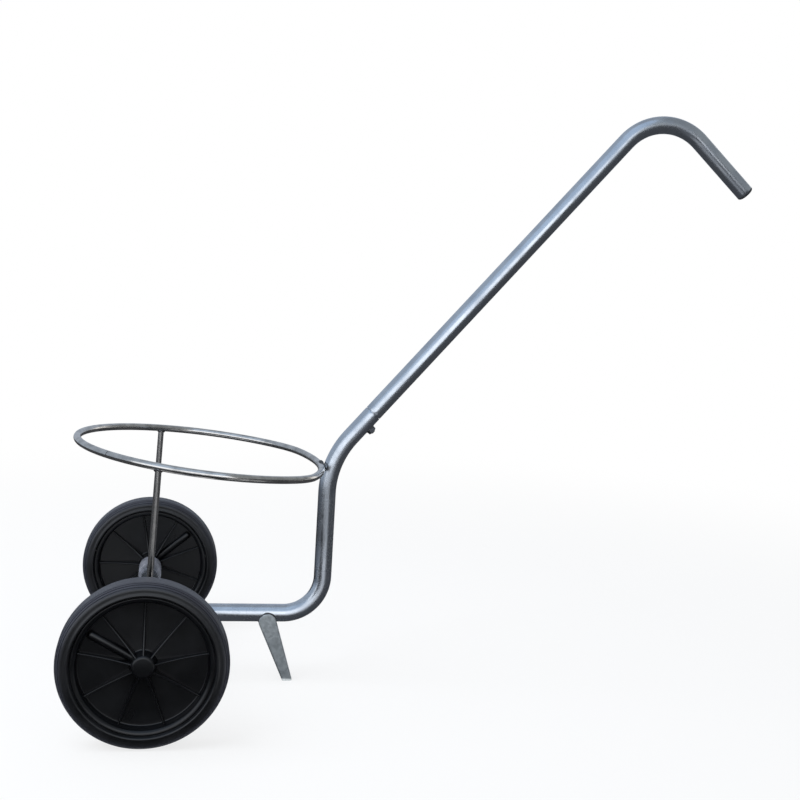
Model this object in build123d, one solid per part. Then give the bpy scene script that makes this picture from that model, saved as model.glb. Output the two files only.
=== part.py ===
from build123d import *
import os
from math import atan2, cos, degrees, hypot, radians, sin, sqrt

# Two-wheeled barrel cart: a bent tube frame with a hoop for the barrel, and a hooked handle that plugs in.
# X runs from the axle to the handle, Y across the cart to its right side, Z up from the floor.
# Lengths are millimetres and X values are counted from the axle until the pieces are written out.

# Wheels
WHEEL_DIAMETER = 250
TYRE_WIDTH = 50
TRACK = 576
WHEEL_RADIUS = WHEEL_DIAMETER / 2

# Frame tube: level run, upright, and a socket that leans back
TUBE_DIAMETER = 30
TUBE_WALL = 2
LOWER_TUBE_HEIGHT = 115
LOWER_TUBE_START = 4
UPRIGHT_X = 293
LOWER_BEND_RADIUS = 65
SOCKET_CORNER_HEIGHT = 381.5
UPPER_BEND_RADIUS = 150
SOCKET_LENGTH = 110
TUBE_RADIUS = TUBE_DIAMETER / 2
TUBE_BORE = TUBE_RADIUS - TUBE_WALL

# Handle: straight shaft in line with the socket, then a hook with a straight grip
HANDLE_ANGLE = 49.6
HANDLE_LENGTH = 733
HOOK_BEND_RADIUS = 93
GRIP_ANGLE = 41.75
GRIP_LENGTH = 221
SPIGOT_LENGTH = 50
SPIGOT_CLEARANCE = 0.05
SHOULDER_LENGTH = 8
JOINT_GAP = 0.6
TUBE_END_CHAMFER = 0.7
PLUG_HEAD = 4
PLUG_ROUNDING = 3
PLUG_STEM = 16

# Clamp screw in its welded nut, under the socket
NUT_FROM_MOUTH = 23
NUT_ACROSS_FLATS = 13
NUT_HEIGHT = 6.5
SCREW_RADIUS = 4
SCREW_CLEARANCE = 0.05
SCREW_GAP = 0.3
SCREW_PROUD = 1.8
SCREW_SOCKET_ACROSS_FLATS = 4
SCREW_SOCKET_DEPTH = 4

# Axle: cross tube, rod, bushes in the tube's ends and spacer sleeves up to the hubs
AXLE_TUBE_WALL = 3
AXLE_TUBE_HALF = 203
AXLE_ROD_RADIUS = 10
BUSH_LENGTH = 30
SPACER_RADIUS = 20.5
HUB_GAP = 0.5
ROD_PAST_WHEEL_MIDDLE = 15

# Hoop for the barrel, flattened where it meets the upright, and its two struts
HOOP_RADIUS = 213
HOOP_ROD_RADIUS = 6
HOOP_X = 89.9
HOOP_HEIGHT = 390.8
HOOP_TILT = 5.5
HOOP_BACK = 190
HOOP_BACK_RADIUS = 330
HOOP_CORNER_RADIUS = 110
STRUT_RADIUS = 5
STRUT_TOP_X = 10.9

# Stand leg: tapered channel, its web against the near side of the lower tube
LEG_TOP_X = 196
LEG_TOP_HEIGHT = 117
LEG_FOOT_X = 239.5
LEG_TOP_WIDTH = 30
LEG_FOOT_WIDTH = 17
LEG_THICKNESS = 2.5
LEG_DEPTH = 22
LEG_BEND_RADIUS = 3
LEG_FOOT_ROUNDING = 4
LEG_FOOT_STOCK = 1.5  # ground off the pressed foot

# Wheel section, as radii and as distances from the wheel's middle plane, positive outward
RIM_SEAT_RADIUS = 103
RIM_LIP = 21
RIM_BARREL_RADIUS = 95
RIM_BARREL_EDGE = 12.5
RIM_LIP_FULLNESS = 2.4
RIM_KEY_RADIUS = 106
RIM_KEY_HALF = 7
WEB_HALF = 2.5
HUB_OUTER_RADIUS = 17
HUB_OUTER_FOOT = 20
HUB_OUTER_FACE = 22
HUB_EDGE = 5
HUB_INNER_RADIUS = 20
HUB_INNER_FACE = -33
HUB_CLEARANCE = 0.05
HUB_BORE_RADIUS = AXLE_ROD_RADIUS + HUB_CLEARANCE
HUB_BORE_END = 16
RIB_COUNT = 9
RIB_THICKNESS = 2.8
RIB_AT_HUB = 20
RIB_MIDDLE_RADIUS = 46
RIB_AT_MIDDLE = 11.5
RIB_AT_RIM = 9
RIB_ROOT = 2
TREAD_HALF = 11
SHOULDER_MIDDLE = (120.9, 20.9)
SIDEWALL_TOP = 111
SIDEWALL_FOOT = 107
GROOVE_COUNT = 5
GROOVE_PITCH = 4
GROOVE_WIDTH = 1.2
GROOVE_DEPTH = 0.8

# Wheel lock: a radial pin in a ridge on the web drops into a groove of the axle rod
RIDGE_WIDTH = 13
RIDGE_HALF = 8
RIDGE_END = 92
RIDGE_ROUNDING = 6
LOCK_PIN_RADIUS = 4
LOCK_PIN_CLEARANCE = 0.05
LOCK_PIN_LENGTH = 20
LOCK_PIN_CHAMFER = 0.5
LOCK_TRAVEL = 4
ROD_GROOVE_RADIUS = 7
ROD_GROOVE_WIDTH = 9
LOCK_TIP_GAP = 0.3
LOCK_HOLE_END = 50.5
SPRING_COIL_RADIUS = 3
SPRING_WIRE_RADIUS = 0.5
SPRING_TURNS = 6
LEFT_RIDGE_ANGLE = 150
RIGHT_RIDGE_ANGLE = -40

# Places worked out from the sizes above
UP = (cos(radians(HANDLE_ANGLE)), sin(radians(HANDLE_ANGLE)))
DOWN = (cos(radians(GRIP_ANGLE)), -sin(radians(GRIP_ANGLE)))


def along(start, direction, distance):
    """Point in the cart's middle plane, as X and height, a distance along a direction."""
    return (start[0] + direction[0] * distance, start[1] + direction[1] * distance)


SOCKET_CORNER = (UPRIGHT_X, SOCKET_CORNER_HEIGHT)
MOUTH = along(SOCKET_CORNER, UP, SOCKET_LENGTH)
HOOK_CORNER = along(MOUTH, UP, HANDLE_LENGTH)
TIP = along(HOOK_CORNER, DOWN, GRIP_LENGTH)
REAR_REACH = (
    TIP[0]
    + PLUG_ROUNDING * (1 - DOWN[0])
    - (TUBE_RADIUS - PLUG_ROUNDING) * DOWN[1]
)
FRONT_REACH = HOOP_RADIUS * cos(radians(HOOP_TILT)) + HOOP_ROD_RADIUS - HOOP_X
AXLE_X = (FRONT_REACH - REAR_REACH) / 2


def in_middle_plane(point):
    """A point given as X and height, as a point in space."""
    return (point[0], 0, point[1])


def round_bar(path, radius):
    """Solid round bar along a path."""
    return sweep(Plane(origin=path @ 0, z_dir=path % 0) * Circle(radius), path=path)


def across_bar(radius, near_y, far_y):
    """Solid round bar on the axle line, between two places across the cart."""
    lower = Plane(origin=(0, near_y, WHEEL_RADIUS), z_dir=(0, 1, 0))
    return extrude(lower * Circle(radius), far_y - near_y)


def shaft_plane(point):
    """Plane square to the handle's shaft, its normal up along the shaft."""
    return Plane(origin=in_middle_plane(point), x_dir=(0, 1, 0), z_dir=(UP[0], 0, UP[1]))


def frame_path():
    """Centre line of the frame tube, from the axle to the socket's mouth."""
    corners = [
        (LOWER_TUBE_START, LOWER_TUBE_HEIGHT),
        (UPRIGHT_X, LOWER_TUBE_HEIGHT),
        SOCKET_CORNER,
        MOUTH,
    ]
    points = [in_middle_plane(corner) for corner in corners]
    return FilletPolyline(*points, radius=[LOWER_BEND_RADIUS, UPPER_BEND_RADIUS])


def nut_plane():
    """Plane at the tube's centre line whose normal is the clamp screw's axis, pointing out of the nut."""
    centre = along(MOUTH, UP, -NUT_FROM_MOUTH)
    return Plane(origin=in_middle_plane(centre), x_dir=(0, 1, 0), z_dir=(UP[1], 0, -UP[0]))


def hollow_frame_tube(frame_bar, axle_bar):
    bore = round_bar(frame_path(), TUBE_BORE)
    screw_hole = extrude(nut_plane() * Circle(SCREW_RADIUS + SCREW_CLEARANCE), TUBE_DIAMETER)
    tube = frame_bar - bore - screw_hole - axle_bar
    mouth = tube.edges().filter_by(GeomType.CIRCLE).sort_by(Axis.Z)[-2:]
    return chamfer(mouth.sort_by(SortBy.RADIUS)[-1], TUBE_END_CHAMFER)


def hexagon(across_flats):
    return RegularPolygon(across_flats / 2, 6, major_radius=False)


def socket_nut(frame_bar):
    """Nut on the underside of the socket, its base shaped to the tube."""
    base = nut_plane().offset(TUBE_BORE)
    section = hexagon(NUT_ACROSS_FLATS) - Circle(SCREW_RADIUS + SCREW_CLEARANCE)
    return extrude(base * section, TUBE_WALL + NUT_HEIGHT) - frame_bar


def clamp_screw():
    start = TUBE_BORE - SPIGOT_CLEARANCE + SCREW_GAP
    end = TUBE_RADIUS + NUT_HEIGHT + SCREW_PROUD
    body = extrude(nut_plane().offset(start) * Circle(SCREW_RADIUS), end - start)
    socket_floor = nut_plane().offset(end - SCREW_SOCKET_DEPTH)
    socket = extrude(socket_floor * hexagon(SCREW_SOCKET_ACROSS_FLATS), SCREW_SOCKET_DEPTH)
    rims = body.edges().filter_by(GeomType.CIRCLE)
    return chamfer(rims, TUBE_END_CHAMFER) - socket


def handle_tube():
    """Bent tube, its lower end drawn down to a spigot that plugs into the socket."""
    foot = along(MOUTH, UP, JOINT_GAP)
    end = along(TIP, DOWN, -PLUG_HEAD)
    corners = [in_middle_plane(point) for point in (foot, HOOK_CORNER, end)]
    path = FilletPolyline(*corners, radius=HOOK_BEND_RADIUS)
    spigot_radius = TUBE_BORE - SPIGOT_CLEARANCE
    spigot_bore = spigot_radius - TUBE_WALL
    outside = round_bar(path, TUBE_RADIUS)
    outside = chamfer(outside.edges().filter_by(GeomType.CIRCLE).sort_by(Axis.Z)[0], TUBE_END_CHAMFER)
    inside = round_bar(path, TUBE_BORE)
    shoulder = extrude(shaft_plane(foot) * Circle(TUBE_RADIUS), SHOULDER_LENGTH)
    spigot_foot = along(MOUTH, UP, -SPIGOT_LENGTH)
    reach = SPIGOT_LENGTH + JOINT_GAP
    spigot = extrude(shaft_plane(spigot_foot) * Circle(spigot_radius), reach)
    spigot_hole = extrude(shaft_plane(spigot_foot) * Circle(spigot_bore), reach + SHOULDER_LENGTH)
    return outside - (inside - shoulder) + spigot - spigot_hole


def handle_end_plug():
    """Plug pushed into the grip's end, with a rounded head as wide as the tube."""
    tube_end = in_middle_plane(along(TIP, DOWN, -PLUG_HEAD))
    head_plane = Plane(origin=tube_end, x_dir=(0, 1, 0), z_dir=(DOWN[0], 0, DOWN[1]))
    head = extrude(head_plane * Circle(TUBE_RADIUS), PLUG_HEAD)
    rim = head.edges().filter_by(GeomType.CIRCLE).sort_by(Axis.Z)[0]
    stem = extrude(head_plane * Circle(TUBE_BORE), -PLUG_STEM)
    return fillet(rim, PLUG_ROUNDING) + stem


def axle_rod():
    half = TRACK / 2 + ROD_PAST_WHEEL_MIDDLE
    rod = across_bar(AXLE_ROD_RADIUS, -half, half)
    for side in (-1, 1):
        low = side * TRACK / 2 - ROD_GROOVE_WIDTH / 2
        high = low + ROD_GROOVE_WIDTH
        rod -= across_bar(AXLE_ROD_RADIUS, low, high) - across_bar(ROD_GROOVE_RADIUS, low, high)
    return rod


def sleeve(outer_radius, inner_radius, side, from_middle, to_middle):
    """Sleeve on the axle line at one side, between two distances from the cart's middle."""
    low, high = sorted((side * from_middle, side * to_middle))
    return across_bar(outer_radius, low, high) - across_bar(inner_radius, low, high)


def hoop_plane():
    """The hoop's own plane: x to the back, which is lower, y across the cart."""
    tilt = radians(HOOP_TILT)
    centre = (HOOP_X, 0, HOOP_HEIGHT)
    return Plane(origin=centre, x_dir=(cos(tilt), 0, -sin(tilt)), z_dir=(sin(tilt), 0, cos(tilt)))


def hoop_bar():
    """Round rod bent to a circle, with a flatter arc at the back and a tighter arc on each side of it."""
    back_centre = HOOP_BACK - HOOP_BACK_RADIUS
    from_main = HOOP_RADIUS - HOOP_CORNER_RADIUS
    from_back = HOOP_BACK_RADIUS - HOOP_CORNER_RADIUS
    corner_x = (from_back**2 - from_main**2 - back_centre**2) / (-2 * back_centre)
    corner_y = sqrt(from_main**2 - corner_x**2)
    main_angle = degrees(atan2(corner_y, corner_x))
    back_angle = degrees(atan2(corner_y, corner_x - back_centre))
    main = CenterArc((0, 0), HOOP_RADIUS, main_angle, 360 - 2 * main_angle)
    right_corner = CenterArc((corner_x, corner_y), HOOP_CORNER_RADIUS, back_angle, main_angle - back_angle)
    left_corner = CenterArc((corner_x, -corner_y), HOOP_CORNER_RADIUS, -main_angle, main_angle - back_angle)
    back = CenterArc((back_centre, 0), HOOP_BACK_RADIUS, -back_angle, 2 * back_angle)
    path = Wire([hoop_plane() * arc for arc in (main, left_corner, back, right_corner)])
    return round_bar(path, HOOP_ROD_RADIUS)


def strut(side, hoop, axle_bar):
    """Rod from the hoop down to the axle tube, its ends shaped to both."""
    tilt = radians(HOOP_TILT)
    along_hoop = (STRUT_TOP_X - HOOP_X) / cos(tilt)
    y = side * sqrt(HOOP_RADIUS**2 - along_hoop**2)
    top = (STRUT_TOP_X, y, HOOP_HEIGHT - along_hoop * sin(tilt))
    rod = round_bar(Line((0, y, WHEEL_RADIUS), top), STRUT_RADIUS)
    return rod - hoop - axle_bar


def leg_outline(inset):
    """Tapered outline with a round top, in X and height, drawn in by an inset."""
    lean_x = LEG_FOOT_X - LEG_TOP_X
    length = hypot(lean_x, LEG_TOP_HEIGHT)
    across = (LEG_TOP_HEIGHT / length, lean_x / length)
    top_half = LEG_TOP_WIDTH / 2
    shoulder = (LEG_TOP_X + lean_x * top_half / length, LEG_TOP_HEIGHT * (1 - top_half / length))
    past_foot = along((LEG_FOOT_X, 0), (lean_x / length, -LEG_TOP_HEIGHT / length), LEG_FOOT_STOCK + inset)
    half = top_half - inset
    foot_half = LEG_FOOT_WIDTH / 2 - inset
    top = along(shoulder, (-lean_x / length, LEG_TOP_HEIGHT / length), half)
    left_top = along(shoulder, across, -half)
    right_top = along(shoulder, across, half)
    left_foot = (past_foot[0] - foot_half, past_foot[1])
    right_foot = (past_foot[0] + foot_half, past_foot[1])
    sides = Polyline(left_top, left_foot, right_foot, right_top)
    return make_face(sides + ThreePointArc(right_top, top, left_top))


def stand_leg(frame_bar):
    """Pressed channel: web on the near side, flanges shaped to the tube, foot ground flat."""
    web_plane = Plane.XZ.offset(TUBE_RADIUS + LEG_THICKNESS)
    leg = extrude(web_plane * leg_outline(0), -LEG_DEPTH)
    leg = fillet(leg.edges().filter_by(Axis.Y).sort_by(Axis.Z)[:2], LEG_FOOT_ROUNDING)
    leg = fillet(leg.faces().sort_by(Axis.Y)[0].edges(), LEG_BEND_RADIUS)
    hollow = extrude(web_plane.offset(-LEG_THICKNESS) * leg_outline(LEG_THICKNESS), -LEG_DEPTH)
    below_floor = Pos(LEG_FOOT_X, 0, -LEG_DEPTH) * Box(2 * LEG_DEPTH, 2 * LEG_DEPTH, 2 * LEG_DEPTH)
    return leg - hollow - frame_bar - below_floor


def turned(outline):
    """Solid of a wheel section, given as radius and distance from the middle plane, turned about the axle."""
    return revolve(make_face(Plane.XZ * Curve(children=outline)), Axis.Z)


def tyre_seat():
    """The rim's seat with its key, which the tyre's inside follows."""
    return Polyline(
        (RIM_SEAT_RADIUS, RIM_LIP),
        (RIM_SEAT_RADIUS, RIM_KEY_HALF),
        (RIM_KEY_RADIUS, RIM_KEY_HALF),
        (RIM_KEY_RADIUS, -RIM_KEY_HALF),
        (RIM_SEAT_RADIUS, -RIM_KEY_HALF),
        (RIM_SEAT_RADIUS, -RIM_LIP),
    )


def rim_body():
    """Barrel with rounded lips, web and tapered hub, closed outside and with a blind bore from inside."""
    lip_middle = (RIM_BARREL_RADIUS + RIM_LIP_FULLNESS, RIM_LIP - RIM_LIP_FULLNESS)
    outline = [
        Polyline((0, HUB_BORE_END), (0, HUB_OUTER_FACE), (HUB_OUTER_RADIUS - HUB_EDGE, HUB_OUTER_FACE)),
        RadiusArc(
            (HUB_OUTER_RADIUS - HUB_EDGE, HUB_OUTER_FACE),
            (HUB_OUTER_RADIUS, HUB_OUTER_FACE - HUB_EDGE),
            HUB_EDGE,
        ),
        Polyline(
            (HUB_OUTER_RADIUS, HUB_OUTER_FACE - HUB_EDGE),
            (HUB_OUTER_FOOT, WEB_HALF),
            (RIM_BARREL_RADIUS, WEB_HALF),
            (RIM_BARREL_RADIUS, RIM_BARREL_EDGE),
        ),
        ThreePointArc((RIM_BARREL_RADIUS, RIM_BARREL_EDGE), lip_middle, (RIM_SEAT_RADIUS, RIM_LIP)),
        tyre_seat(),
        ThreePointArc(
            (RIM_SEAT_RADIUS, -RIM_LIP),
            (lip_middle[0], -lip_middle[1]),
            (RIM_BARREL_RADIUS, -RIM_BARREL_EDGE),
        ),
        Polyline(
            (RIM_BARREL_RADIUS, -RIM_BARREL_EDGE),
            (RIM_BARREL_RADIUS, -WEB_HALF),
            (HUB_INNER_RADIUS, -WEB_HALF),
            (HUB_INNER_RADIUS, HUB_INNER_FACE),
            (HUB_BORE_RADIUS, HUB_INNER_FACE),
            (HUB_BORE_RADIUS, HUB_BORE_END),
            (0, HUB_BORE_END),
        ),
    ]
    return turned(outline)


def rib():
    """One thin radial rib, high at the hub and hollowed towards the rim, alike on both faces of the web."""
    rib_foot = HUB_OUTER_RADIUS - RIB_ROOT
    rib_end = RIM_BARREL_RADIUS + RIB_ROOT
    edges = [
        ThreePointArc((rib_foot, RIB_AT_HUB), (RIB_MIDDLE_RADIUS, RIB_AT_MIDDLE), (rib_end, RIB_AT_RIM)),
        Line((rib_end, RIB_AT_RIM), (rib_end, -RIB_AT_RIM)),
        ThreePointArc((rib_end, -RIB_AT_RIM), (RIB_MIDDLE_RADIUS, -RIB_AT_MIDDLE), (rib_foot, -RIB_AT_HUB)),
        Line((rib_foot, -RIB_AT_HUB), (rib_foot, RIB_AT_HUB)),
    ]
    return extrude(make_face(Plane.XZ * Curve(children=edges)), RIB_THICKNESS / 2, both=True)


def wheel_rim():
    """Moulded rim with its ribs and the ridge that holds the wheel lock, midway between two ribs."""
    one_rib = rib()
    ribs = [Rot(0, 0, 360 / RIB_COUNT * (k + 0.5)) * one_rib for k in range(RIB_COUNT)]
    ridge = Pos(RIDGE_END / 2, 0, 0) * Box(RIDGE_END, RIDGE_WIDTH, 2 * RIDGE_HALF)
    rounded = ridge.edges().filter_by(Axis.X) + ridge.faces().sort_by(Axis.X)[-1].edges()
    ridge = fillet(rounded, RIDGE_ROUNDING)
    bore = Pos(0, 0, HUB_INNER_FACE) * Cylinder(
        HUB_BORE_RADIUS,
        HUB_BORE_END - HUB_INNER_FACE,
        align=(Align.CENTER, Align.CENTER, Align.MIN),
    )
    pin_hole = extrude(Plane.YZ * Circle(LOCK_PIN_RADIUS + LOCK_PIN_CLEARANCE), LOCK_HOLE_END)
    return rim_body() + ribs + ridge - bore - pin_hole


def tyre():
    """Solid rubber tyre on the rim's seat, with rounded shoulders and grooves round the tread."""
    half = TYRE_WIDTH / 2
    tread = []
    for k in range(GROOVE_COUNT):
        middle = (k - (GROOVE_COUNT - 1) / 2) * GROOVE_PITCH
        low = middle - GROOVE_WIDTH / 2
        high = middle + GROOVE_WIDTH / 2
        floor = WHEEL_RADIUS - GROOVE_DEPTH
        tread += [(WHEEL_RADIUS, low), (floor, low), (floor, high), (WHEEL_RADIUS, high)]
    outline = [
        Polyline((WHEEL_RADIUS, -TREAD_HALF), *tread, (WHEEL_RADIUS, TREAD_HALF)),
        ThreePointArc((WHEEL_RADIUS, TREAD_HALF), SHOULDER_MIDDLE, (SIDEWALL_TOP, half)),
        Polyline((SIDEWALL_TOP, half), (SIDEWALL_FOOT, half), (RIM_SEAT_RADIUS, RIM_LIP)),
        tyre_seat(),
        Polyline((RIM_SEAT_RADIUS, -RIM_LIP), (SIDEWALL_FOOT, -half), (SIDEWALL_TOP, -half)),
        ThreePointArc(
            (SIDEWALL_TOP, -half),
            (SHOULDER_MIDDLE[0], -SHOULDER_MIDDLE[1]),
            (WHEEL_RADIUS, -TREAD_HALF),
        ),
    ]
    return turned(outline)


def lock_pin():
    tip = Plane.YZ.offset(ROD_GROOVE_RADIUS + LOCK_TIP_GAP)
    pin = extrude(tip * Circle(LOCK_PIN_RADIUS), LOCK_PIN_LENGTH)
    return chamfer(pin.edges().filter_by(GeomType.CIRCLE), LOCK_PIN_CHAMFER)


def lock_spring():
    """Coil spring behind the lock pin, drawn as short as it gets when the pin is out."""
    pin_back = ROD_GROOVE_RADIUS + LOCK_TIP_GAP + LOCK_PIN_LENGTH + LOCK_TRAVEL
    length = LOCK_HOLE_END - pin_back - 2 * SPRING_WIRE_RADIUS - 2 * LOCK_TIP_GAP
    coil = Helix(length / SPRING_TURNS, length, SPRING_COIL_RADIUS)
    wire = Plane(origin=coil @ 0, z_dir=coil % 0) * Circle(SPRING_WIRE_RADIUS)
    start = pin_back + LOCK_TIP_GAP + SPRING_WIRE_RADIUS
    return Pos(start, 0, 0) * Rot(0, 90, 0) * sweep(wire, path=coil, is_frenet=True)


def wheel_place(side, ridge_angle):
    """Place of a wheel: its own axis outward, turned so that the lock ridge lies at its angle."""
    plane = Plane(origin=(0, side * TRACK / 2, WHEEL_RADIUS), x_dir=(1, 0, 0), z_dir=(0, side, 0))
    return plane.location * Rot(0, 0, ridge_angle)


def all_pieces():
    """Every piece by name, with the axle at X zero."""
    frame_bar = round_bar(frame_path(), TUBE_RADIUS)
    axle_bar = across_bar(TUBE_RADIUS, -AXLE_TUBE_HALF, AXLE_TUBE_HALF)
    axle_bore = across_bar(TUBE_RADIUS - AXLE_TUBE_WALL, -AXLE_TUBE_HALF, AXLE_TUBE_HALF)
    hoop = hoop_bar()
    pieces = {
        "frame_tube": hollow_frame_tube(frame_bar, axle_bar),
        "axle_tube": axle_bar - axle_bore,
        "axle_rod": axle_rod(),
        "ring_hoop": hoop - frame_bar,
        "stand_leg": stand_leg(frame_bar),
        "socket_nut": socket_nut(frame_bar),
        "clamp_screw": clamp_screw(),
        "handle_tube": handle_tube(),
        "handle_end_plug": handle_end_plug(),
    }
    bush_radius = TUBE_RADIUS - AXLE_TUBE_WALL
    bush_start = AXLE_TUBE_HALF - BUSH_LENGTH
    spacer_end = TRACK / 2 + HUB_INNER_FACE - HUB_GAP
    wheel_pieces = {
        "wheel_rim": wheel_rim(),
        "tyre": tyre(),
        "lock_pin": lock_pin(),
        "lock_spring": lock_spring(),
    }
    for name, side, ridge_angle in (("left", -1, LEFT_RIDGE_ANGLE), ("right", 1, RIGHT_RIDGE_ANGLE)):
        pieces["strut_" + name] = strut(side, hoop, axle_bar)
        pieces["axle_bush_" + name] = sleeve(bush_radius, AXLE_ROD_RADIUS, side, bush_start, AXLE_TUBE_HALF)
        spacer = sleeve(SPACER_RADIUS, AXLE_ROD_RADIUS, side, AXLE_TUBE_HALF, spacer_end)
        pieces["axle_spacer_" + name] = spacer
        for piece, shape in wheel_pieces.items():
            pieces[piece + "_" + name] = wheel_place(side, ridge_angle) * shape
    return pieces


os.makedirs("parts", exist_ok=True)
for node, shape in all_pieces().items():
    export_step(Pos(AXLE_X, 0, 0) * shape, "parts/" + node + ".step")
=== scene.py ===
from functools import cache
from math import atan2, ceil, cos, pi, radians, sin, sqrt, tan
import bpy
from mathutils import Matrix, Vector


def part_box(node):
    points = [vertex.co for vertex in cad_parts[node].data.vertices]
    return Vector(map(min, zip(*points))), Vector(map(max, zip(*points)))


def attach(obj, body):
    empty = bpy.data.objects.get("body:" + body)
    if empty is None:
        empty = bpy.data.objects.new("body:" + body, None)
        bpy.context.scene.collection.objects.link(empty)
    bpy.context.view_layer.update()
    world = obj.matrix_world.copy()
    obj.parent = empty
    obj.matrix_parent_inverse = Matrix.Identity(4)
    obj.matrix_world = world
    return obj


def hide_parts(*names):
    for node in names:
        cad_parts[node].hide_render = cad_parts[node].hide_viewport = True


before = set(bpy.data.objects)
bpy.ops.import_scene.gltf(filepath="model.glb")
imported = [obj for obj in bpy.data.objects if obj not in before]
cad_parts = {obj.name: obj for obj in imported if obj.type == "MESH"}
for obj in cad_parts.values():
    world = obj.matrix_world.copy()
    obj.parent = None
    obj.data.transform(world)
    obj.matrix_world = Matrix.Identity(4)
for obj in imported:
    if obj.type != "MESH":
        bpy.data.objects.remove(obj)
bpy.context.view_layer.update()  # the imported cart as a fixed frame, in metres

from types import SimpleNamespace

import bmesh
import bpy
from bpy.props import FloatProperty, FloatVectorProperty, IntProperty, PointerProperty
from mathutils import Matrix, Vector

bl_info = {
    "name": "Barrel cart",
    "version": (1, 0, 0),
    "blender": (4, 5, 0),
    "location": "View3D > Sidebar > Cart",
    "description": "Dresses a two-wheeled barrel cart in plated tube, moulded wheels and welds",
    "category": "Add Mesh",
}

MM = 0.001
LAID_OUT = "laid_out"  # each point's place on its piece before the piece was bent or set on the cart
SMOOTH_LIMIT = radians(28)
SIDES = (("left", -1), ("right", 1))
SQUARE = ((-1, -1), (1, -1), (1, 1), (-1, 1))
RING_STEPS = 48  # points round the nut, the screw and a strut's seam
CARD_CENTRE = Vector((0, 0, 0.5))
FLOOR_SIZE = 40


def middle(node):
    """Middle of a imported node's box."""
    low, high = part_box(node)
    return (low + high) / 2


def span(node):
    """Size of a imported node's box."""
    low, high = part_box(node)
    return high - low


AXLE = middle("axle_tube")


# Sizes and colours that a user would change

def length(name, description, millimetres):
    """Length property, its default rounded to a hundredth of a millimetre."""
    metres = round(millimetres * MM, 5)
    return FloatProperty(
        name=name, description=description, default=metres, min=0, precision=4,
        subtype="DISTANCE", unit="LENGTH",
    )


def angle(name, description, degrees):
    """Angle property."""
    turn = radians(degrees)
    return FloatProperty(name=name, description=description, default=turn, subtype="ANGLE", unit="ROTATION")


def linear(tone):
    """Linear colour, with alpha, of an sRGB hex value."""
    parts = [int(tone[k : k + 2], 16) / 255 for k in (1, 3, 5)]
    return [p / 12.92 if p <= 0.04045 else ((p + 0.055) / 1.055) ** 2.4 for p in parts] + [1.0]


def colour(name, description, tone):
    """Colour property."""
    return FloatVectorProperty(
        name=name, description=description, default=linear(tone), size=4, min=0, max=1, subtype="COLOR"
    )


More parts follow.
